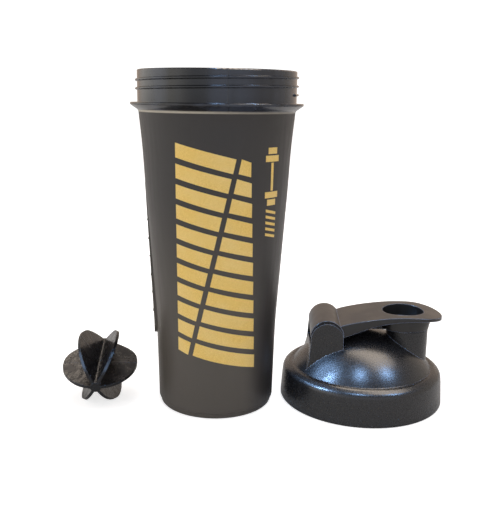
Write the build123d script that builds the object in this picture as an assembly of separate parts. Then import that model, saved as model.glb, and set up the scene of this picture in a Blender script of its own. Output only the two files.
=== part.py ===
from build123d import *
from math import radians, sin, sqrt, tan
import os

# A protein shaker bottle standing open. All sizes are in millimetres and +Z is up.
# The origin is the centre of the cup's foot, on the table. The lid lies to the right of
# the cup (+X) with its flip arm closed, and the mixer lies on its side to the left.

# Cup: wall stations from the foot to the collar
FOOT_R = 32.3
FOOT_HEIGHT = 2.8
FOOT_RECESS_R = 28.5
FOOT_RECESS_DEPTH = 1.3
WALL_FOOT_R = 33.3
WALL_GRIP_R = 34.4
WALL_GRIP_Z = 48.0
WALL_CHEST_R = 39.5
WALL_CHEST_Z = 123.0
WALL_SHOULDER_R = 40.75
WALL_SHOULDER_Z = 147.0
WALL_COLLAR_R = 42.75
WALL_COLLAR_Z = 166.8
WALL_THICK = 1.9
FLOOR_TOP = 3.6
FLOOR_CORNER_R = 7.0

# Cup: collar, neck and rim
COLLAR_R = 47.0
COLLAR_TOP = 170.9
COLLAR_THICK = 1.2
NECK_R = 43.15
NECK_BORE_R = 41.15
CUP_HEIGHT = 187.8

# Screw thread shared by the neck and the lid
THREAD_PITCH = 4.5
THREAD_CREST = 0.7
THREAD_ROOT = 1.9
NECK_THREAD_HEIGHT = 1.05
NECK_THREAD_BOTTOM = 175.3
NECK_THREAD_TURNS = 2.17
NECK_THREAD_START = -20.0
LID_THREAD_HEIGHT = 1.2
LID_THREAD_BOTTOM = 3.2
LID_THREAD_TURNS = 1.25
THREAD_EMBED = 0.5

# Cup: raised scale pad on the left side, with one rib for each graduation
PAD_BOTTOM = 40.0
PAD_TOP = 128.0
PAD_WIDTH = 15.0
PAD_RAISE = 1.5
RIB_COUNT = 6
RIB_BOTTOM = 54.0
RIB_STEP = 10.5
RIB_LONG = 9.0
RIB_SHORT = 5.5
RIB_THICK = 0.9
RIB_RAISE = 0.35

# How far a cutting shape runs past the face that it opens
OVERCUT = 1.0

# Lid: skirt, sloping flange, groove and dome, measured from the lid's own lower rim
LID_X = 86.8
LID_Y = 3.9
LID_TURN = -4.5
SKIRT_BOTTOM_R = 47.65
SKIRT_TOP_R = 46.9
SKIRT_TOP_Z = 12.5
FLANGE_OUTER_R = 46.3
FLANGE_OUTER_Z = 17.8
FLANGE_INNER_R = 42.3
FLANGE_INNER_Z = 20.5
GROOVE_R = 40.75
GROOVE_Z = 20.05
DOME_EDGE_R = 40.4
DOME_R = 49.9
DOME_APEX = 40.8
LID_THICK = 2.0
SOCKET_R = 44.9
SOCKET_STEP_Z = 14.6
SOCKET_STEP_TOP = 15.6
SOCKET_NECK_R = 43.7
SOCKET_ROOF = 18.4
PLUG_WALL_R = 40.8
PLUG_WALL_THICK = 1.6
PLUG_WALL_BOTTOM = 12.5
CAVITY_EDGE_R = 37.8

# Lid gasket: a flat ring between the roof of the socket and the rim of the cup
GASKET_INNER_R = 41.1
GASKET_OUTER_R = 43.4
GASKET_BOTTOM = 16.6
GASKET_TOP = 18.35

# Spout
SPOUT_X = 26.0
SPOUT_R = 12.0
SPOUT_BORE_R = 9.9
SPOUT_TOP = 43.2

# Hinge bracket and pin
HINGE_X = -21.9
HINGE_Z = 40.3
CHEEK_R = 9.2
CHEEK_INSIDE = 18.5
CHEEK_OUTSIDE = 20.5
TROUGH_R = 11.3
TROUGH_THICK = 1.8
CHEEK_HEEL = 1.3
WEB_HEEL = 2.9
WEB_TOP = 31.0
PIN_R = 2.0
PIN_FIT = 0.03
PIN_RUNNING_FIT = 0.08
PIN_SEAT = 1.2

# Flip arm
KNUCKLE_R = 9.4
KNUCKLE_RISE = 1.1
KNUCKLE_HALF = 18.3
ARM_HALF = 17.5
ARM_TIP_X = 45.5
ARM_PLATE = 2.2
ARM_TIP_THICK = 1.9
ARM_RIB = 1.7
POCKET_FRONT = -11.0
POCKET_BACK = 9.0
SPINE_THICK = 2.4
SPINE_BOTTOM = 41.3
SPINE_GAP = 0.5
RECESS_X = 23.0
RECESS_R = 11.95
RECESS_WALL = 0.95
RECESS_FLOOR = 46.1
CAP_FLOOR = 44.6
CAP_FLARE_R = 12.9
CAP_FLARE_Z = 46.6
CAP_RIM_R = 12.3
CAP_RIM_Z = 43.35
CAP_TOP = 51.8
BOSS_R = 7.0
BOSS_BOTTOM = 40.1
BOSS_LIP_R = 7.7
BOSS_LIP_HEIGHT = 0.8

# Spout seal: a soft collar on the boss under the cap
SEAL_FLANGE_R = 11.5
SEAL_PLUG_R = 9.7
SEAL_FIT = 0.03

# Mixer: six round fins on one hub, placed by its blunt nose
MIXER_LENGTH = 47.8
MIXER_CREST = 23.9
MIXER_R = 21.5
MIXER_SHOULDER_R = 12.4
MIXER_SHOULDER = 40.9
MIXER_HUB_R = 2.6
MIXER_NOSE_R = 3.0
FIN_COUNT = 6
FIN_THICK = 1.7
MIXER_NOSE_X = -67.2
MIXER_NOSE_Y = -22.6
MIXER_TILT = 12.6
MIXER_HEADING = -2.5
MIXER_ROLL = 0.4


def point(radius, z):
    """A point of a profile that is drawn in the XZ plane."""
    return Vector(radius, 0, z)


def rounded_outline(corners):
    """Edges of a closed outline through (radius, z, corner radius) corners."""
    places = [point(radius, z) for radius, z, _ in corners]
    cuts = []
    for index, (_, _, corner_r) in enumerate(corners):
        here = places[index]
        back = (places[index - 1] - here).normalized()
        ahead = (places[(index + 1) % len(places)] - here).normalized()
        if corner_r == 0:
            cuts.append((here, None, here))
            continue
        half = radians(back.get_angle(ahead) / 2)
        reach = corner_r / tan(half)
        sag = corner_r / sin(half) - corner_r
        middle = here + (back + ahead).normalized() * sag
        cuts.append((here + back * reach, middle, here + ahead * reach))
    edges = []
    for index, (start, middle, end) in enumerate(cuts):
        if middle is not None:
            edges.append(ThreePointArc(start, middle, end))
        following = cuts[(index + 1) % len(cuts)][0]
        if (following - end).length > 0.001:
            edges.append(Line(end, following))
    return edges


def turned(corners):
    """A solid of revolution about Z from the corners of its half section."""
    return revolve(Face(Wire(rounded_outline(corners))), axis=Axis.Z)


def side_plate(edges, y_low, y_high):
    """A plate between two Y values, from edges drawn in the XZ plane."""
    face = Face(Wire(edges))
    plate = extrude(face, amount=y_high - y_low, dir=(0, 1, 0))
    return Pos(0, y_low, 0) * plate


def cross_cylinder(x, z, radius, y_low, y_high):
    """A cylinder whose axis is parallel to Y."""
    body = Cylinder(radius, y_high - y_low)
    return Pos(x, (y_low + y_high) / 2, z) * Rot(90, 0, 0) * body


def upright(x, radius, z_low, z_high):
    """A vertical cylinder at y = 0."""
    return Pos(x, 0, (z_low + z_high) / 2) * Cylinder(radius, z_high - z_low)


def thread(radius, height, bottom, turns, start_angle):
    """A right-hand thread ridge. A negative height makes it point inwards."""
    side = 1 if height > 0 else -1
    root = radius - side * THREAD_EMBED
    path = Helix(THREAD_PITCH, THREAD_PITCH * turns, root)
    section = Wire.make_polygon(
        [
            point(root, -THREAD_ROOT / 2),
            point(radius + height, -THREAD_CREST / 2),
            point(radius + height, THREAD_CREST / 2),
            point(root, THREAD_ROOT / 2),
        ],
        close=True,
    )
    ridge = sweep(Face(section), path=path, is_frenet=True)
    return Pos(0, 0, bottom) * Rot(0, 0, start_angle) * ridge


def wall_radius(z):
    """Outer radius of the cup's wall below the chest station."""
    if z < WALL_GRIP_Z:
        share = (z - FOOT_HEIGHT) / (WALL_GRIP_Z - FOOT_HEIGHT)
        return WALL_FOOT_R + share * (WALL_GRIP_R - WALL_FOOT_R)
    share = (z - WALL_GRIP_Z) / (WALL_CHEST_Z - WALL_GRIP_Z)
    return WALL_GRIP_R + share * (WALL_CHEST_R - WALL_GRIP_R)


def make_cup():
    bend = 400.0
    outside = [
        (0, FOOT_RECESS_DEPTH, 0),
        (FOOT_RECESS_R - 1, FOOT_RECESS_DEPTH, 0.6),
        (FOOT_RECESS_R, 0, 0.5),
        (FOOT_R, 0, 0.8),
        (FOOT_R, FOOT_HEIGHT, 0.25),
        (WALL_FOOT_R, FOOT_HEIGHT + 0.5, 0.5),
        (WALL_GRIP_R, WALL_GRIP_Z, bend),
        (WALL_CHEST_R, WALL_CHEST_Z, bend),
        (WALL_SHOULDER_R, WALL_SHOULDER_Z, bend),
        (WALL_COLLAR_R, WALL_COLLAR_Z, 2.0),
        (COLLAR_R, COLLAR_TOP - COLLAR_THICK, 0.35),
        (COLLAR_R, COLLAR_TOP, 0.35),
        (NECK_R, COLLAR_TOP, 0.4),
        (NECK_R, CUP_HEIGHT, 0.7),
    ]
    inside = [
        (NECK_BORE_R, CUP_HEIGHT, 0.7),
        (NECK_BORE_R, WALL_COLLAR_Z, 12.0),
        (WALL_SHOULDER_R - WALL_THICK, WALL_SHOULDER_Z, bend),
        (WALL_CHEST_R - WALL_THICK, WALL_CHEST_Z, bend),
        (WALL_GRIP_R - WALL_THICK, WALL_GRIP_Z, bend),
        (WALL_FOOT_R - WALL_THICK, FLOOR_TOP, FLOOR_CORNER_R),
        (0, FLOOR_TOP, 0),
    ]
    cup = turned(outside + inside)
    ridge = thread(NECK_R, NECK_THREAD_HEIGHT, NECK_THREAD_BOTTOM, NECK_THREAD_TURNS, NECK_THREAD_START)
    return cup + ridge + make_scale_pad()


def make_scale_pad():
    """The raised pad on the -X side. Its top end runs out flush with the wall."""
    root = 1.0
    low_r = wall_radius(PAD_BOTTOM)
    high_r = wall_radius(PAD_TOP)
    section = [
        (low_r - root, PAD_BOTTOM, 0),
        (low_r + PAD_RAISE, PAD_BOTTOM, 0.6),
        (wall_radius(WALL_GRIP_Z) + PAD_RAISE, WALL_GRIP_Z, 0),
        (high_r, PAD_TOP, 0),
        (high_r - root, PAD_TOP, 0),
        (wall_radius(WALL_GRIP_Z) - root, WALL_GRIP_Z, 0),
    ]
    ring = turned(section)
    stadium = SlotOverall(PAD_TOP - PAD_BOTTOM, PAD_WIDTH, rotation=90)
    window = extrude(Plane.YZ * stadium, amount=-2 * WALL_CHEST_R)
    pad = ring & (Pos(0, 0, (PAD_TOP + PAD_BOTTOM) / 2) * window)
    for index in range(RIB_COUNT):
        z = RIB_BOTTOM + index * RIB_STEP
        length = RIB_LONG if index % 2 == 0 else RIB_SHORT
        share = (z - WALL_GRIP_Z) / (PAD_TOP - WALL_GRIP_Z)
        pad_r = wall_radius(z) + PAD_RAISE * (1 - share)
        rib = turned(
            [
                (pad_r - root / 2, z - RIB_THICK / 2, 0),
                (pad_r + RIB_RAISE, z - RIB_THICK / 4, 0),
                (pad_r + RIB_RAISE, z + RIB_THICK / 4, 0),
                (pad_r - root / 2, z + RIB_THICK / 2, 0),
            ]
        )
        pad += rib & (Pos(-WALL_CHEST_R, 0, z) * Box(WALL_CHEST_R, length, 2 * RIB_THICK))
    return pad


def dome_height(radius, sphere_r=DOME_R):
    """Height of the dome's surface, or of one inside it, at a distance from the lid's axis."""
    centre = DOME_APEX - DOME_R
    return centre + sqrt(sphere_r**2 - radius**2)


def dome_section(edge_r, sphere_r, corners):
    """A half section that is closed by the dome's arc from its edge to the axis."""
    low = point(edge_r, dome_height(edge_r, sphere_r))
    middle = point(edge_r / 2, dome_height(edge_r / 2, sphere_r))
    top = point(0, dome_height(0, sphere_r))
    stops = [top, *corners, low]
    edges = [Line(start, end) for start, end in zip(stops, stops[1:])]
    return revolve(Face(Wire([*edges, ThreePointArc(low, middle, top)])), axis=Axis.Z)


def make_lid_shell():
    crown = dome_section(DOME_EDGE_R, DOME_R, [point(0, 0), point(DOME_EDGE_R, 0)])
    rim = turned(
        [
            (DOME_EDGE_R - OVERCUT, 0, 0),
            (SKIRT_BOTTOM_R, 0, 0.7),
            (SKIRT_TOP_R, SKIRT_TOP_Z, 20.0),
            (FLANGE_OUTER_R, FLANGE_OUTER_Z, 4.0),
            (FLANGE_INNER_R, FLANGE_INNER_Z, 3.0),
            (GROOVE_R, GROOVE_Z, 0.2),
            (DOME_EDGE_R, dome_height(DOME_EDGE_R), 0),
            (DOME_EDGE_R - OVERCUT, dome_height(DOME_EDGE_R), 0),
        ]
    )
    filled = crown + rim
    spout = upright(SPOUT_X, SPOUT_R, GROOVE_Z, SPOUT_TOP)
    lid = filled + fillet(spout.edges().sort_by(Axis.Z)[-1], 0.5) + make_bracket()

    inner_r = PLUG_WALL_R - PLUG_WALL_THICK
    core_r = CAVITY_EDGE_R - OVERCUT
    floor = [point(0, -OVERCUT), point(CAVITY_EDGE_R, -OVERCUT)]
    cavity = dome_section(CAVITY_EDGE_R, DOME_R - LID_THICK, floor)
    under_plug = turned(
        [
            (core_r, -OVERCUT, 0),
            (SOCKET_R, -OVERCUT, 0),
            (SOCKET_R, PLUG_WALL_BOTTOM, 0),
            (core_r, PLUG_WALL_BOTTOM, 0),
        ]
    )
    beside_plug = turned(
        [
            (core_r, PLUG_WALL_BOTTOM - OVERCUT, 0),
            (inner_r, PLUG_WALL_BOTTOM - OVERCUT, 0),
            (inner_r, GROOVE_Z - LID_THICK, 1.0),
            (core_r, GROOVE_Z - LID_THICK, 0),
        ]
    )
    channel = turned(
        [
            (PLUG_WALL_R, PLUG_WALL_BOTTOM - OVERCUT, 0),
            (SOCKET_R, PLUG_WALL_BOTTOM - OVERCUT, 0),
            (SOCKET_R, SOCKET_STEP_Z, 0.3),
            (SOCKET_NECK_R, SOCKET_STEP_TOP, 0.3),
            (SOCKET_NECK_R, SOCKET_ROOF, 0.3),
            (PLUG_WALL_R, SOCKET_ROOF, 0.3),
        ]
    )
    lid = lid - cavity - under_plug - beside_plug - channel

    trough = cross_cylinder(HINGE_X, HINGE_Z, TROUGH_R + TROUGH_THICK, -CHEEK_OUTSIDE, CHEEK_OUTSIDE)
    lid += trough & filled
    lid -= cross_cylinder(HINGE_X, HINGE_Z, TROUGH_R, -CHEEK_INSIDE, CHEEK_INSIDE)
    hole_front = -CHEEK_INSIDE - PIN_SEAT
    lid -= cross_cylinder(HINGE_X, HINGE_Z, PIN_R + PIN_FIT, hole_front, CHEEK_OUTSIDE + OVERCUT)
    lid -= upright(SPOUT_X, SPOUT_BORE_R, 0, SPOUT_TOP + OVERCUT)
    lid += thread(SOCKET_R, -LID_THREAD_HEIGHT, LID_THREAD_BOTTOM, LID_THREAD_TURNS, 0)
    return lid


def heeled_plate(top_z, heel, y_low, y_high):
    """A plate under the hinge whose back edge slopes out by a heel at its foot."""
    back_x = HINGE_X - CHEEK_R
    corners = [
        point(back_x, top_z),
        point(back_x - heel, GROOVE_Z),
        point(HINGE_X + CHEEK_R, GROOVE_Z),
        point(HINGE_X + CHEEK_R, top_z),
    ]
    edges = [Line(start, end) for start, end in zip(corners, corners[1:] + corners[:1])]
    return side_plate(edges, y_low, y_high)


def make_bracket():
    """Two cheeks with round tops, and the low web that joins them."""
    bracket = heeled_plate(WEB_TOP, WEB_HEEL, -CHEEK_OUTSIDE, CHEEK_OUTSIDE)
    for side in (-1, 1):
        y_low, y_high = sorted((side * CHEEK_INSIDE, side * CHEEK_OUTSIDE))
        bracket += cross_cylinder(HINGE_X, HINGE_Z, CHEEK_R, y_low, y_high)
        bracket += heeled_plate(HINGE_Z, CHEEK_HEEL, y_low, y_high)
    return bracket


def make_lid_gasket():
    return turned(
        [
            (GASKET_INNER_R, GASKET_BOTTOM, 0.4),
            (GASKET_OUTER_R, GASKET_BOTTOM, 0.4),
            (GASKET_OUTER_R, GASKET_TOP, 0.4),
            (GASKET_INNER_R, GASKET_TOP, 0.4),
        ]
    )


def make_hinge_pin():
    front = -CHEEK_INSIDE - PIN_SEAT + 0.1
    pin = cross_cylinder(HINGE_X, HINGE_Z, PIN_R, front, CHEEK_OUTSIDE - 0.1)
    return chamfer(pin.edges().filter_by(GeomType.CIRCLE), 0.3)


def arm_top_line():
    """Top of the arm, from inside the knuckle to the tip."""
    return [(-19.0, 45.4), (-14.9, 47.3), (-5.0, 50.1), (7.0, 52.2), (19.5, 53.4), (30.0, 53.4), (46.5, 50.9)]


def make_arm_plate():
    top = arm_top_line()
    upper = Spline([point(x, z) for x, z in top])
    tip_x, tip_z = top[-1]
    lower = Spline(
        [
            point(tip_x, tip_z - ARM_TIP_THICK),
            point(32.0, 51.2),
            point(19.8, 50.6),
            point(12.0, 49.4),
            point(5.5, 47.8),
            point(-3.8, 44.2),
            point(-12.7, 40.6),
            point(-19.0, 38.8),
        ]
    )
    ends = [Line(upper @ 1, lower @ 0), Line(lower @ 1, upper @ 0)]
    plate = side_plate([upper, ends[0], lower, ends[1]], -ARM_HALF, ARM_HALF)
    tip_centre = ARM_TIP_X - ARM_HALF
    body = Pos((HINGE_X + tip_centre) / 2, 0) * Rectangle(tip_centre - HINGE_X, 2 * ARM_HALF)
    outline = body + Pos(tip_centre, 0) * Circle(ARM_HALF)
    plate = plate & extrude(outline, amount=2 * HINGE_Z)
    roof_line = [point(x, z - ARM_PLATE) for x, z in top[1:5]]
    roof = Spline(roof_line)
    stops = [roof @ 1, point(roof_line[-1].X, 0), point(roof_line[0].X, 0), roof @ 0]
    rest = [Line(start, end) for start, end in zip(stops, stops[1:])]
    pocket = side_plate([roof, *rest], -ARM_HALF + ARM_RIB, ARM_HALF - ARM_RIB)
    length = POCKET_BACK - POCKET_FRONT
    slot = Pos((POCKET_FRONT + POCKET_BACK) / 2, 0, HINGE_Z) * Box(length, 4 * ARM_HALF, 2 * HINGE_Z)
    return plate - (pocket & slot)


def make_arm_spine():
    """The stiffening rib along the middle of the arm's underside, from the knuckle to the spout."""
    front = POCKET_FRONT + 1.5
    back = SPOUT_X - SPOUT_R - SPINE_GAP
    corners = [
        point(front, SPINE_BOTTOM),
        point(back, SPINE_BOTTOM),
        point(back, 51.5),
        point(front, 47.9),
    ]
    edges = [Line(start, end) for start, end in zip(corners, corners[1:] + corners[:1])]
    return side_plate(edges, -SPINE_THICK / 2, SPINE_THICK / 2)


def make_cap():
    """The cap under the arm's tip, with the boss that carries the soft seal."""
    cap = turned(
        [
            (0, CAP_RIM_Z, 0),
            (CAP_RIM_R, CAP_RIM_Z, 0.2),
            (CAP_FLARE_R, CAP_FLARE_Z, 3.0),
            (CAP_FLARE_R, CAP_TOP, 0),
            (0, CAP_TOP, 0),
        ]
    )
    boss = upright(0, BOSS_R, BOSS_BOTTOM, CAP_FLOOR + 0.5)
    lip = upright(0, BOSS_LIP_R, BOSS_BOTTOM, BOSS_BOTTOM + BOSS_LIP_HEIGHT)
    lip = chamfer(lip.edges().sort_by(Axis.Z)[0], 0.4)
    well = upright(RECESS_X, RECESS_R + RECESS_WALL, CAP_RIM_Z, CAP_TOP)
    seat = upright(SPOUT_X, SEAL_FLANGE_R + 0.2, CAP_RIM_Z - OVERCUT, CAP_FLOOR)
    return Pos(SPOUT_X, 0, 0) * cap + well - seat + Pos(SPOUT_X, 0, 0) * (boss + lip)


def make_flip_arm():
    knuckle = cross_cylinder(HINGE_X, HINGE_Z + KNUCKLE_RISE, KNUCKLE_R, -KNUCKLE_HALF, KNUCKLE_HALF)
    arm = knuckle + make_arm_plate() + make_arm_spine() + make_cap()
    arm -= upright(RECESS_X, RECESS_R, RECESS_FLOOR, CAP_TOP + 2 * ARM_PLATE)
    bore = PIN_R + PIN_RUNNING_FIT
    arm -= cross_cylinder(HINGE_X, HINGE_Z, bore, -CHEEK_OUTSIDE, CHEEK_OUTSIDE)
    return arm


def make_spout_seal():
    lip_top = BOSS_BOTTOM + BOSS_LIP_HEIGHT
    seal = turned(
        [
            (BOSS_R + SEAL_FIT, lip_top + SEAL_FIT, 0),
            (SEAL_PLUG_R - 0.5, lip_top + SEAL_FIT, 0),
            (SEAL_PLUG_R, lip_top + 0.8, 0),
            (SEAL_PLUG_R, SPOUT_TOP + 0.1, 0),
            (SEAL_FLANGE_R, SPOUT_TOP + 0.1, 0),
            (SEAL_FLANGE_R, CAP_FLOOR - SEAL_FIT, 0),
            (BOSS_R + SEAL_FIT, CAP_FLOOR - SEAL_FIT, 0),
        ]
    )
    return Pos(SPOUT_X, 0, 0) * seal


def make_fin():
    """One fin in the XZ plane: z runs along the hub from the blunt nose, x outwards."""
    diagonal = sqrt(0.5)
    crest = point(MIXER_R, MIXER_CREST)
    quarter = point(diagonal * MIXER_R, (1 - diagonal) * MIXER_CREST)
    near = Spline([point(0, 0), quarter, crest], tangents=[(1, 0, 0), (0, 0, 1)])
    shoulder = point(MIXER_SHOULDER_R, MIXER_SHOULDER)
    tail = point(MIXER_HUB_R / 2, MIXER_LENGTH)
    far = Spline([crest, shoulder, tail], tangents=[(0, 0, 1), (-1, 0, 0.5)])
    close = [Line(tail, point(0, MIXER_LENGTH)), Line(point(0, MIXER_LENGTH), point(0, 0))]
    return side_plate([near, far, *close], -FIN_THICK / 2, FIN_THICK / 2)


def make_mixer():
    fin = make_fin()
    mixer = upright(0, MIXER_HUB_R, 0, MIXER_LENGTH)
    mixer += upright(0, MIXER_NOSE_R, 0, 2 * FIN_THICK)
    for index in range(FIN_COUNT):
        mixer += Rot(0, 0, index * 360 / FIN_COUNT + MIXER_ROLL) * fin
    mixer = Rot(0, 0, -MIXER_HEADING) * Rot(-90 + MIXER_TILT, 0, 0) * mixer
    drop = mixer.bounding_box().min.Z
    return Pos(MIXER_NOSE_X, MIXER_NOSE_Y, -drop) * mixer


at_lid = Pos(LID_X, LID_Y, 0) * Rot(0, 0, LID_TURN)
nodes = {
    "cup": make_cup(),
    "lid_shell": at_lid * make_lid_shell(),
    "lid_gasket": at_lid * make_lid_gasket(),
    "hinge_pin": at_lid * make_hinge_pin(),
    "flip_arm": at_lid * make_flip_arm(),
    "spout_seal": at_lid * make_spout_seal(),
    "mixer": make_mixer(),
}
os.makedirs("parts", exist_ok=True)
for name, shape in nodes.items():
    export_step(shape, f"parts/{name}.step")
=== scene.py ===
"""Looks of the shaker bottle: materials, the gold print, lights and the camera."""

import math

import bmesh
import bpy
from mathutils import Euler, Matrix, Vector
from mathutils.bvhtree import BVHTree


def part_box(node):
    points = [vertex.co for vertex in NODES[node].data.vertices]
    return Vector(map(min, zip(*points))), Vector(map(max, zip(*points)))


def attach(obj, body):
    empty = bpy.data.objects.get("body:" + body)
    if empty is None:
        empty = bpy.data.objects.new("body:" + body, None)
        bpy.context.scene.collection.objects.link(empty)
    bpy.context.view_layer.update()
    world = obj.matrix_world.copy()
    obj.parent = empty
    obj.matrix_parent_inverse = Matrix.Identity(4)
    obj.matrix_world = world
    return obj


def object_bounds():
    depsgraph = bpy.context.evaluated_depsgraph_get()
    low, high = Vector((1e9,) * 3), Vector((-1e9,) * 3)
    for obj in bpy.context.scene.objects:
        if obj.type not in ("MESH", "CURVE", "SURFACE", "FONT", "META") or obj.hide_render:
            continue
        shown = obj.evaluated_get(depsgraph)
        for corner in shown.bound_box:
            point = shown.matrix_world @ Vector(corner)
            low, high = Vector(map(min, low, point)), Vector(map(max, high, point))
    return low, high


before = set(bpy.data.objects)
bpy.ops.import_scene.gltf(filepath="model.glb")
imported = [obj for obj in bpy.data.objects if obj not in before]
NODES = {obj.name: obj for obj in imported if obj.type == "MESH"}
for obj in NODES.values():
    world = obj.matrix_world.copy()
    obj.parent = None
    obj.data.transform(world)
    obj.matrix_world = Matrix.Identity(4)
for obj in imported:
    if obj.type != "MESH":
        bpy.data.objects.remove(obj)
CAD_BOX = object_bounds()
MM = 0.001


def srgb(red, green, blue):
    """A linear colour from the familiar 0 to 255 values."""
    linear = []
    for part in (red, green, blue):
        part /= 255
        linear.append(part / 12.92 if part <= 0.04045 else ((part + 0.055) / 1.055) ** 2.4)
    return (*linear, 1.0)


# Camera: the place, in metres, and the aim, in degrees, of a hand-held phone before the cup
CAMERA_PLACE = Vector((0.00581, -0.39237, 0.17453))
CAMERA_YAW = 1.444
CAMERA_PITCH = 12.794
CAMERA_ROLL = 0.785
CAMERA_LENS_MM = 49.45
CAMERA_SENSOR_MM = 36.0
CAMERA_REACH = (0.01, 20.0)

# Room: the colours that reflections see, and what the camera sees behind the object
HORIZON_FRONT = (0.95, 0.98, 1.06, 1.0)
HORIZON_BACK = (0.80, 0.64, 0.52, 1.0)
HORIZON_LEFT = (1.9, 1.85, 1.75, 1.0)
HORIZON_RIGHT = (0.75, 0.68, 0.60, 1.0)
CEILING = (0.30, 0.28, 0.27, 1.0)
BACKDROP = (1.2, 1.2, 1.2, 1.0)

# Room: where one colour gives way to the next, as parts of a unit vector from the object
FRONT_TO_BACK = (-0.3, 0.5)
LEFT_TO_MIDDLE = (-0.95, -0.5)
MIDDLE_TO_RIGHT = (0.5, 0.95)
HORIZON_TO_CEILING = (0.35, 0.8)

# Floor
FLOOR_SIZE = 12.0
FLOOR_GAP = 0.2 * MM
FLOOR_GLOW = 0.6
FLOOR_COLOURS = (srgb(224, 223, 222), srgb(230, 229, 228))

# Lamps: the soft box, in metres and watts
SOFTBOX_PLACE = (0.1, 0.1, 1.3)
SOFTBOX_AIM = (0, 0, 0.08)
SOFTBOX_SIZE = (1.2, 0.9)
SOFTBOX_POWER = 9.0
NEUTRAL = (1.0, 1.0, 1.0)
WARM = (1.0, 0.86, 0.72)
SKY = (0.34, 0.58, 1.0)

# Lamps: the panels. Each aims at the middle of a node's box, moved by an offset in millimetres,
# and stands one metre off along a direction. Then come its size, power and colour.
LID_PANELS = (
    ("warm_panel", (-1, -23, 10), (0.20, 0.19, 0.96), (0.95, 0.54), 11.5, WARM),
    ("skylight_left", (-25, -28, -2), (-0.69, -0.06, 0.72), (0.22, 0.24), 28.0, SKY),
    ("skylight_middle", (-7, -35, 1), (-0.08, -0.38, 0.92), (0.17, 0.22), 5.2, SKY),
    ("skylight_right", (8, -34, 1), (0.48, -0.26, 0.84), (0.18, 0.20), 4.4, SKY),
)
MIXER_PANELS = (
    ("mixer_warm_panel", (0, 0, 0), (-0.26, 0.67, 0.70), (0.10, 0.10), 0.40, WARM),
    ("mixer_sky_left", (0, 0, 0), (-0.76, -0.45, 0.42), (0.8, 0.6), 7.0, SKY),
    ("mixer_sky_right", (0, 0, 0), (0.42, -0.80, 0.42), (0.6, 0.6), 4.5, SKY),
)

# Cup landmarks, from the frame: the collar, the polish and the painted highlight line just under it,
# the parting line on the neck, and the painted light that makes the wall paler low down, which fades
# upwards and to the right
CUP_LOW, CUP_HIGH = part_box("cup")
COLLAR_Z = CUP_LOW.z + 0.906 * (CUP_HIGH.z - CUP_LOW.z)
POLISH_START = COLLAR_Z - 4.2 * MM
POLISH_END = COLLAR_Z - 3.2 * MM
HIGHLIGHT_LINE_Z = COLLAR_Z - 3.9 * MM
HIGHLIGHT_LINE_SOFT = 0.6 * MM
HIGHLIGHT_LINE_LEFT = -0.5 * CUP_HIGH.x
HIGHLIGHT_LINE_RIGHT = 0.6 * CUP_HIGH.x
PARTING_X = 6.0 * MM
PAINTED_GLOW_LOW = CUP_LOW.z + 0.25 * COLLAR_Z
PAINTED_GLOW_HIGH = CUP_LOW.z + 0.80 * COLLAR_Z
PAINTED_GLOW_LEFT = 0.30 * CUP_HIGH.x
PAINTED_GLOW_RIGHT = 0.62 * CUP_HIGH.x

# Mixer: the way its hub points, in the frame
MIXER_TILT = math.radians(12.6)
MIXER_HEADING = math.radians(-2.5)

# Colours of the materials, a dark and a light one where they vary
WALL_COLOURS = (srgb(45, 43, 42), srgb(53, 50, 49))
# Painted light: the paler colour painted on the lower left of the wall
PAINTED_GLOW = srgb(78, 73, 67)
# Painted reflection: the dark and light bands on the polished neck
NECK_REFLECTION_COLOURS = (srgb(16, 17, 20), srgb(47, 52, 63))
# Painted highlight: the bright line just under the collar
PAINTED_HIGHLIGHT = srgb(190, 182, 165)
LID_COLOURS = (srgb(24, 24, 27), srgb(32, 32, 34))
ARM_COLOURS = (srgb(22, 20, 20), srgb(30, 28, 27))
# Painted highlight and wear: the pale blue-white colour along sharp edges
EDGE_WEAR_AND_GLINT = srgb(160, 176, 210)
MIXER_COLOURS = (srgb(10, 11, 15), srgb(19, 20, 25))
RUBBER_COLOURS = (srgb(34, 34, 35), srgb(46, 45, 45))
GOLD_COLOURS = (srgb(224, 186, 92), srgb(248, 214, 128))
GOLD_PALE = srgb(236, 212, 150)
DUST = (0.06, 0.06, 0.063, 1.0)

# Worn edges with a painted highlight: the cosines between a face and its rounded edge where the pale
# edge is full and where it ends, and the share of the pale colour where it is full
WORN_GLINT_FULL = 0.82
WORN_GLINT_END = 0.97
WORN_GLINT_SHARE = 0.85

# Gold print: how the ink sits on the wall
PRINT_FRONT = math.radians(-90)
PRINT_PROUD = 0.06 * MM
PRINT_ROOT = 0.03 * MM

# Gold print, in flat millimetres: along the wall from its front, and up from the table
PRINT_CELL = 1.5
CUT_SLACK = 1e-4
BAR_SLOPE = 0.24
PANEL_BARS = 11
PANEL_BAR_THICK = 7.4
PANEL_PITCH = 10.5
PANEL_TOP = 151.5
PANEL_LEFT = -21.5
PANEL_RIGHT_TOP = 18.5
PANEL_RIGHT_BOTTOM = 23.0
SLASH_TOP = 11.0
SLASH_BOTTOM = -13.0
SLASH_WIDTH = 2.8
DUMBBELL_PLACE = (32.5, 134.0)
GRIP_WIDTH = 1.8
GRIP_LENGTH = 14.58
PLATE_START = 7.83
PLATE_PITCH = 4.05
PLATE_THICK = 3.24
PLATE_WIDTHS = (10.0, 6.6)
MARK_BARS = 5
MARK_BAR_THICK = 1.5
MARK_PITCH = 3.2
MARK_TOP = 117.0
MARK_LEFT = 28.5
MARK_RIGHT = 36.5


# ---------------------------------------------------------------- node helpers


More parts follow.
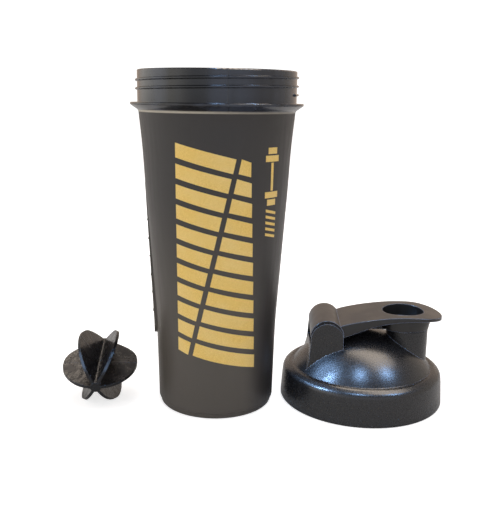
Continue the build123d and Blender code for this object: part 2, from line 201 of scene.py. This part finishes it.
class Graph:
    """Makes a material's or a world's nodes and links short to write. Lengths are in metres,
    and the scale of a noise or of cells is a count to the metre."""

    def __init__(self, owner):
        self.owner = owner
        owner.use_nodes = True
        self.tree = owner.node_tree

    def node(self, kind, **settings):
        made = self.tree.nodes.new(kind)
        for key, value in settings.items():
            setattr(made, key, value)
        return made

    def feed(self, target, value):
        """Links an output to an input, or sets the input to a plain value."""
        if isinstance(value, bpy.types.NodeSocket):
            self.tree.links.new(value, target)
        else:
            target.default_value = value

    def result_of(self, kind, values, output=0, **settings):
        """An output of a new node, with its inputs fed by name or by number."""
        made = self.node(kind, **settings)
        for slot, value in values.items():
            self.feed(made.inputs[slot], value)
        return made.outputs[output]

    def place(self):
        return self.node("ShaderNodeTexCoord").outputs["Object"]

    def seen(self):
        """One for what the camera sees, and zero for what reflections and bounces see."""
        return self.node("ShaderNodeLightPath").outputs["Is Camera Ray"]

    def axes(self, vector):
        parts = self.node("ShaderNodeSeparateXYZ")
        self.feed(parts.inputs[0], vector)
        return parts.outputs

    def maths(self, operation, first, second=0.0):
        return self.result_of("ShaderNodeMath", {0: first, 1: second}, operation=operation)

    def times(self, first, second):
        return self.maths("MULTIPLY", first, second)

    def dot(self, first, second):
        values = {0: first, 1: second}
        return self.result_of("ShaderNodeVectorMath", values, "Value", operation="DOT_PRODUCT")

    def ramp(self, value, low, high, low_out=0.0, high_out=1.0):
        """A smooth step of a value from one range to another, clamped."""
        values = dict(enumerate((value, low, high, low_out, high_out)))
        return self.result_of("ShaderNodeMapRange", values, interpolation_type="SMOOTHSTEP")

    def fall(self, value, low, high):
        """A smooth step from one to zero."""
        return self.ramp(value, low, high, 1.0, 0.0)

    def spread(self, noise, low_out, high_out):
        """A noise, which is mostly from 0.3 to 0.7, spread over a range."""
        return self.ramp(noise, 0.3, 0.7, low_out, high_out)

    def stripe(self, value, middle, core, edge):
        """One within a core of a middle value, falling to zero at an edge."""
        off = self.maths("ABSOLUTE", self.maths("SUBTRACT", value, middle))
        return self.fall(off, core, edge)

    def noise(self, scale, detail=3.0, rough=0.5, stretch=None):
        where = self.place()
        if stretch:
            where = self.result_of("ShaderNodeMapping", {"Vector": where, "Scale": stretch})
        values = {"Vector": where, "Scale": scale, "Detail": detail, "Roughness": rough}
        return self.result_of("ShaderNodeTexNoise", values, "Fac")

    def cells(self, scale):
        values = {"Vector": self.place(), "Scale": scale}
        return self.result_of("ShaderNodeTexVoronoi", values, "Distance")

    def mix(self, share, first, second):
        """A colour between two others, by the mix node's sockets for colours."""
        return self.result_of("ShaderNodeMix", {0: share, 6: first, 7: second}, 2, data_type="RGBA")

    def blend(self, share, first, second):
        """A plain number between two others, by the mix node's sockets for numbers."""
        return self.result_of("ShaderNodeMix", {0: share, 2: first, 3: second})

    def bump(self, below, height, distance, strength):
        """A normal with relief on top of the normal below."""
        values = {"Height": height, "Distance": distance, "Strength": strength, "Normal": below}
        return self.result_of("ShaderNodeBump", values)

    def soft_edges(self, radius):
        """A normal that rounds sharp edges by a radius, so that they catch the light."""
        return self.result_of("ShaderNodeBevel", {"Radius": radius}, samples=4)

    def worn_glinting_edges(self, radius, colour, shine):
        """A colour that turns pale along sharp edges: partly wear where handling has polished them,
        partly a painted blue-white highlight.
        """
        normal = self.node("ShaderNodeNewGeometry").outputs["Normal"]
        flatness = self.dot(self.soft_edges(radius), normal)
        worn_glint = self.ramp(flatness, WORN_GLINT_FULL, WORN_GLINT_END, WORN_GLINT_SHARE, 0.0)
        return self.mix(worn_glint, colour, shine)

    def dust(self, colour):
        """A colour with sparse pale specks and faint handling scuffs on top."""
        speck = self.fall(self.cells(160), 0.030, 0.045)
        rare = self.ramp(self.noise(35, detail=2), 0.56, 0.66)
        streak = self.noise(300, detail=4, rough=0.7, stretch=(1.0, 1.0, 0.15))
        scuff = self.ramp(streak, 0.62, 0.74)
        marks = self.maths("ADD", self.times(speck, rare), self.times(scuff, 0.15))
        return self.mix(marks, colour, DUST)

    def finish(self, **inputs):
        surface = self.tree.nodes["Principled BSDF"]
        for name, value in inputs.items():
            self.feed(surface.inputs[name.replace("_", " ")], value)
        return self.owner


def material_graph(name):
    return Graph(bpy.data.materials.new(name))


# ---------------------------------------------------------------- materials


def cup_plastic():
    """Frosted grey-black wall below the collar, and a polished neck with a parting line above it."""
    g = material_graph("cup_plastic")
    across, _, height = g.axes(g.place())
    neck = g.ramp(height, POLISH_START, POLISH_END)
    cloud = g.noise(18)
    # Painted reflection: the bands on the neck are painted into its colour
    colour = g.mix(neck, wall_colour(g, across, height, cloud), painted_neck_reflection(g))
    # Painted highlight: a bright line just under the collar
    colour = g.mix(painted_highlight_line(g, across, height), colour, PAINTED_HIGHLIGHT)
    streak = g.noise(60, rough=0.6, stretch=(6.0, 6.0, 0.25))
    rough = g.blend(neck, g.spread(streak, 0.36, 0.46), g.spread(cloud, 0.10, 0.20))
    relief = cup_relief(g, across, neck)
    return g.finish(Base_Color=colour, Roughness=rough, Normal=relief, IOR=1.5)


def wall_colour(g, across, height, cloud):
    # Painted light: the wall is painted paler low down and towards the left, fading upwards and to the
    # right
    painted_glow = g.times(g.fall(height, PAINTED_GLOW_LOW, PAINTED_GLOW_HIGH), g.fall(across, PAINTED_GLOW_LEFT, PAINTED_GLOW_RIGHT))
    return g.dust(g.mix(painted_glow, g.mix(cloud, *WALL_COLOURS), PAINTED_GLOW))


def painted_neck_reflection(g):
    """Soft upright bands of painted reflection, as a polished neck shows the room."""
    reflection_bands = g.noise(55, detail=2, stretch=(1.0, 1.0, 0.06))
    return g.mix(g.ramp(reflection_bands, 0.42, 0.60), *NECK_REFLECTION_COLOURS)


def painted_highlight_line(g, across, height):
    """A thin painted highlight line where the frosted wall meets the polish, brighter at the left."""
    starts = g.ramp(height, HIGHLIGHT_LINE_Z - HIGHLIGHT_LINE_SOFT, HIGHLIGHT_LINE_Z)
    ends = g.fall(height, HIGHLIGHT_LINE_Z + HIGHLIGHT_LINE_SOFT / 2, HIGHLIGHT_LINE_Z + 2 * HIGHLIGHT_LINE_SOFT)
    lit_side = g.ramp(across, HIGHLIGHT_LINE_LEFT, HIGHLIGHT_LINE_RIGHT, 0.85, 0.35)
    return g.times(g.times(starts, ends), lit_side)


def cup_relief(g, across, neck):
    """Frost on the wall, slow waves all over, and the parting line up the neck."""
    satin = g.maths("SUBTRACT", 1.0, neck)
    frost = g.times(g.noise(2400, detail=2, rough=0.6), satin)
    relief = g.bump(g.soft_edges(0.3 * MM), frost, distance=0.06 * MM, strength=0.6)
    relief = g.bump(relief, g.noise(45, detail=2), distance=0.25 * MM, strength=0.35)
    parting = g.times(g.stripe(across, PARTING_X, 0.1 * MM, 0.3 * MM), neck)
    return g.bump(relief, parting, distance=0.2 * MM, strength=1.0)


def lid_plastic():
    """Black moulding with a fine spark-eroded texture that sparkles under the skylights."""
    g = material_graph("lid_plastic")
    grain = g.noise(1150, rough=0.7)
    colour = g.dust(g.mix(g.noise(25), *LID_COLOURS))
    # Painted highlight and wear along the sharp edges
    colour = g.worn_glinting_edges(0.5 * MM, colour, EDGE_WEAR_AND_GLINT)
    rough = g.ramp(grain, 0.35, 0.65, 0.24, 0.31)
    relief = g.bump(g.soft_edges(0.8 * MM), grain, distance=0.07 * MM, strength=0.3)
    relief = g.bump(relief, g.cells(1100), distance=0.04 * MM, strength=0.3)
    return g.finish(Base_Color=colour, Roughness=rough, Normal=relief, IOR=1.52)


def arm_plastic():
    """The flip arm and its pin: the same black plastic with a smoother face."""
    g = material_graph("arm_plastic")
    colour = g.dust(g.mix(g.noise(30), *ARM_COLOURS))
    # Painted highlight and wear along the sharp edges
    colour = g.worn_glinting_edges(0.6 * MM, colour, EDGE_WEAR_AND_GLINT)
    rough = g.spread(g.noise(70, detail=4), 0.30, 0.40)
    grain = g.noise(1500, rough=0.7)
    relief = g.bump(g.soft_edges(0.9 * MM), grain, distance=0.08 * MM, strength=0.5)
    return g.finish(Base_Color=colour, Roughness=rough, Normal=relief, IOR=1.52)


def mixer_plastic():
    """Semi-gloss black moulding with flow marks and a mould line round the fins."""
    g = material_graph("mixer_plastic")
    flow = g.noise(120, detail=4, rough=0.6)
    colour = g.mix(flow, *MIXER_COLOURS)
    rough = g.spread(flow, 0.16, 0.34)
    waves = g.noise(240, detail=4, rough=0.6)
    relief = g.bump(g.soft_edges(0.4 * MM), waves, distance=0.5 * MM, strength=0.45)
    relief = g.bump(relief, g.noise(1800, detail=2), distance=0.06 * MM, strength=0.5)
    relief = g.bump(relief, mould_line(g), distance=0.2 * MM, strength=0.9)
    return g.finish(Base_Color=colour, Roughness=rough, Normal=relief, IOR=1.42)


def mould_line(g):
    """One on a thin plane across the middle of the mixer's hub, and zero away from it."""
    low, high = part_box("mixer")
    middle = (low + high) / 2
    level = math.cos(MIXER_TILT)
    hub = Vector((math.sin(MIXER_HEADING), math.cos(MIXER_HEADING) * level, math.sin(MIXER_TILT)))
    return g.stripe(g.dot(g.place(), hub), middle.dot(hub), 0.2 * MM, 0.5 * MM)


def soft_rubber():
    """The seals: dull dark rubber with a fine grain."""
    g = material_graph("soft_rubber")
    colour = g.mix(g.noise(40), *RUBBER_COLOURS)
    relief = g.bump(g.soft_edges(0.2 * MM), g.noise(900), distance=0.08 * MM, strength=0.5)
    return g.finish(Base_Color=colour, Roughness=0.62, Normal=relief)


def gold_ink():
    """Screen-printed matt gold with a fine fleck."""
    g = material_graph("gold_ink")
    fleck = g.noise(2500, rough=0.7)
    fine = g.mix(g.ramp(fleck, 0.35, 0.7), *GOLD_COLOURS)
    colour = g.mix(g.spread(g.noise(70), 0.0, 0.35), fine, GOLD_PALE)
    relief = g.bump(g.soft_edges(0.05 * MM), fleck, distance=0.04 * MM, strength=0.5)
    return g.finish(Base_Color=colour, Metallic=0.25, Roughness=0.42, Normal=relief)


def dress(material, *nodes):
    """Gives CAD nodes their material."""
    for node in nodes:
        mesh = NODES[node].data
        mesh.materials.clear()
        mesh.materials.append(material)


# ---------------------------------------------------------------- gold print


def bar(start, end, thick):
    """The corners of a bar. Each end is its place, the height of its top, and how far it leans."""
    left, left_top, left_lean = start
    right, right_top, right_lean = end
    return [
        (left - left_lean, left_top - thick),
        (right - right_lean, right_top - thick),
        (right + right_lean, right_top),
        (left + left_lean, left_top),
    ]


def block(u, u_size, v_low, v_high):
    """The corners of an upright block, centred on a place along the wall."""
    left, right = u - u_size / 2, u + u_size / 2
    return [(left, v_low), (right, v_low), (right, v_high), (left, v_high)]


def striped_panel():
    """A column of slanted bars, with one long diagonal slash through all of them."""
    steps = PANEL_BARS - 1
    lean = (SLASH_TOP - SLASH_BOTTOM) / steps * PANEL_BAR_THICK / PANEL_PITCH / 2
    shapes = []
    for index in range(PANEL_BARS):
        share = index / steps
        top = PANEL_TOP - index * PANEL_PITCH
        right = PANEL_RIGHT_TOP + share * (PANEL_RIGHT_BOTTOM - PANEL_RIGHT_TOP)
        right_top = top - BAR_SLOPE * (right - PANEL_LEFT)
        slash = SLASH_TOP + share * (SLASH_BOTTOM - SLASH_TOP)
        slash_top = top - BAR_SLOPE * (slash - PANEL_LEFT)
        before_slash = (slash - SLASH_WIDTH / 2, slash_top, lean)
        after_slash = (slash + SLASH_WIDTH / 2, slash_top, lean)
        shapes.append(bar((PANEL_LEFT, top, 0), before_slash, PANEL_BAR_THICK))
        shapes.append(bar(after_slash, (right, right_top, 0), PANEL_BAR_THICK))
    return shapes


def dumbbell(u, v):
    """An upright dumbbell: a grip with two plates at each end, the inner one larger."""
    shapes = [block(u, GRIP_WIDTH, v - GRIP_LENGTH / 2, v + GRIP_LENGTH / 2)]
    for side in (-1, 1):
        for step, width in enumerate(PLATE_WIDTHS):
            near = v + side * (PLATE_START + step * PLATE_PITCH)
            low, high = sorted((near, near + side * PLATE_THICK))
            shapes.append(block(u, width, low, high))
    return shapes


def side_mark():
    """The small mark beside the panel: a dumbbell over a row of thin slanted bars."""
    shapes = dumbbell(*DUMBBELL_PLACE)
    fall = BAR_SLOPE * (MARK_RIGHT - MARK_LEFT)
    for index in range(MARK_BARS):
        top = MARK_TOP - index * MARK_PITCH
        shapes.append(bar((MARK_LEFT, top, 0), (MARK_RIGHT, top - fall, 0), MARK_BAR_THICK))
    return shapes


def flat_cells(shapes):
    """A flat mesh of the shapes, cut into cells that can follow a curved wall."""
    flat = bmesh.new()
    for shape in shapes:
        flat.faces.new([flat.verts.new((u, v, 0)) for u, v in shape])
    for axis, normal in ((0, Vector((1, 0, 0))), (1, Vector((0, 1, 0)))):
        places = [vertex.co[axis] for vertex in flat.verts]
        first = math.floor(min(places) / PRINT_CELL)
        last = math.ceil(max(places) / PRINT_CELL)
        for step in range(first, last + 1):
            spot = normal * step * PRINT_CELL
            everything = flat.verts[:] + flat.edges[:] + flat.faces[:]
            bmesh.ops.bisect_plane(flat, geom=everything, plane_co=spot, plane_no=normal, dist=CUT_SLACK)
    return flat


def wall_finder():
    """A function that finds how far the cup's wall is from its axis, at an angle and a height."""
    tree = BVHTree.FromObject(NODES["cup"], bpy.context.evaluated_depsgraph_get())
    outside = 2 * CUP_HIGH.x

    def distance(angle, z):
        way = Vector((math.cos(angle), math.sin(angle), 0))
        hit = tree.ray_cast(way * outside + Vector((0, 0, z)), -way)[0]
        return math.hypot(hit.x, hit.y)

    return distance


def ink_skin(flat):
    """A thin closed skin on the cup's wall, from a flat mesh."""
    distance = wall_finder()
    skin = bmesh.new()
    inner, outer = {}, {}
    for vertex in flat.verts:
        u, z = vertex.co.x * MM, vertex.co.y * MM
        angle = PRINT_FRONT + u / distance(PRINT_FRONT, z)
        wall = distance(angle, z)
        for store, radius in ((inner, wall - PRINT_ROOT), (outer, wall + PRINT_PROUD)):
            store[vertex] = skin.verts.new((radius * math.cos(angle), radius * math.sin(angle), z))
    for face in flat.faces:
        corners = face.verts[:]
        skin.faces.new([outer[corner] for corner in corners])
        skin.faces.new([inner[corner] for corner in reversed(corners)])
    for edge in flat.edges:
        if len(edge.link_faces) == 1:
            first, second = edge.verts
            skin.faces.new((inner[first], inner[second], outer[second], outer[first]))
    bmesh.ops.recalc_face_normals(skin, faces=skin.faces)
    return skin


def wrap_print(name, shapes, material):
    """A printed mark that rides on the cup, from flat shapes."""
    flat = flat_cells(shapes)
    skin = ink_skin(flat)
    mesh = bpy.data.meshes.new(name)
    skin.to_mesh(mesh)
    skin.free()
    flat.free()
    mesh.materials.append(material)
    piece = bpy.data.objects.new(name, mesh)
    bpy.context.scene.collection.objects.link(piece)
    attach(piece, "cup")


# ---------------------------------------------------------------- stage


def make_floor():
    """A pale floor that stays white in the picture and keeps a soft contact shadow."""
    bpy.ops.mesh.primitive_plane_add(size=FLOOR_SIZE, location=(0, 0, CAD_BOX[0].z - FLOOR_GAP))
    floor = bpy.context.object
    floor.name = "floor"
    g = material_graph("floor_paper")
    colour = g.mix(g.noise(3, detail=2), *FLOOR_COLOURS)
    glow = g.times(g.seen(), FLOOR_GLOW)
    paper = g.finish(Base_Color=colour, Roughness=0.9, Emission_Color=BACKDROP, Emission_Strength=glow)
    floor.data.materials.append(paper)


def make_world():
    """White behind the object; a soft room for reflections, warm at the back and bright at the left."""
    world = bpy.data.worlds.new("studio")
    bpy.context.scene.world = world
    g = Graph(world)
    right, away, up = g.axes(g.node("ShaderNodeTexCoord").outputs["Generated"])
    room = g.mix(g.ramp(away, *FRONT_TO_BACK), HORIZON_FRONT, HORIZON_BACK)
    room = g.mix(g.fall(right, *LEFT_TO_MIDDLE), room, HORIZON_LEFT)
    room = g.mix(g.ramp(right, *MIDDLE_TO_RIGHT), room, HORIZON_RIGHT)
    room = g.mix(g.ramp(up, *HORIZON_TO_CEILING), room, CEILING)
    background = g.tree.nodes["Background"]
    g.feed(background.inputs["Color"], g.mix(g.seen(), room, BACKDROP))


def area_light(name, place, target, size, power, colour):
    data = bpy.data.lights.new(name, "AREA")
    data.shape = "RECTANGLE"
    data.size, data.size_y = size
    data.energy = power
    data.color = colour
    lamp = bpy.data.objects.new(name, data)
    lamp.location = place
    lamp.rotation_euler = (Vector(target) - Vector(place)).to_track_quat("-Z", "Y").to_euler()
    bpy.context.scene.collection.objects.link(lamp)
    return lamp


def group_of(name, *nodes):
    group = bpy.data.collections.new(name)
    for node in nodes:
        group.objects.link(NODES[node])
    return group


def reflected_panels(node, panels):
    """Lamps beyond a node that are only seen in reflections."""
    low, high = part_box(node)
    made = {}
    for name, offset, way, size, power, colour in panels:
        aim = (low + high) / 2 + Vector(offset) * MM
        panel = area_light(name, aim + Vector(way).normalized(), aim, size, power, colour)
        panel.visible_diffuse = False
        made[name] = panel
    return made


def make_lights():
    """One soft box that gives the light, and panels that shape the reflections."""
    softbox = area_light("softbox", SOFTBOX_PLACE, SOFTBOX_AIM, SOFTBOX_SIZE, SOFTBOX_POWER, NEUTRAL)
    softbox.visible_glossy = False
    lid_parts = group_of("lid_parts", "lid_shell", "flip_arm", "hinge_pin", "spout_seal")
    left_panel = reflected_panels("lid_shell", LID_PANELS)["skylight_left"]
    left_panel.light_linking.receiver_collection = lid_parts
    left_panel.light_linking.blocker_collection = lid_parts
    only_mixer = group_of("only_mixer", "mixer")
    for panel in reflected_panels("mixer", MIXER_PANELS).values():
        panel.light_linking.receiver_collection = only_mixer


def make_camera():
    data = bpy.data.cameras.new("camera")
    data.lens = CAMERA_LENS_MM
    data.sensor_width = CAMERA_SENSOR_MM
    data.clip_start, data.clip_end = CAMERA_REACH
    camera = bpy.data.objects.new("camera", data)
    turn = Euler((math.radians(90 - CAMERA_PITCH), 0, math.radians(-CAMERA_YAW)), "XYZ").to_matrix()
    roll = Matrix.Rotation(math.radians(CAMERA_ROLL), 3, "Z")
    camera.rotation_euler = (turn @ roll).to_euler()
    camera.location = CAMERA_PLACE
    bpy.context.scene.collection.objects.link(camera)
    bpy.context.scene.camera = camera


dress(cup_plastic(), "cup")
dress(lid_plastic(), "lid_shell")
dress(arm_plastic(), "flip_arm", "hinge_pin")
dress(soft_rubber(), "lid_gasket", "spout_seal")
dress(mixer_plastic(), "mixer")
ink = gold_ink()
wrap_print("striped_panel", striped_panel(), ink)
wrap_print("side_mark", side_mark(), ink)
make_floor()
make_world()
make_lights()
make_camera()

bpy.context.scene.view_settings.view_transform = "Standard"
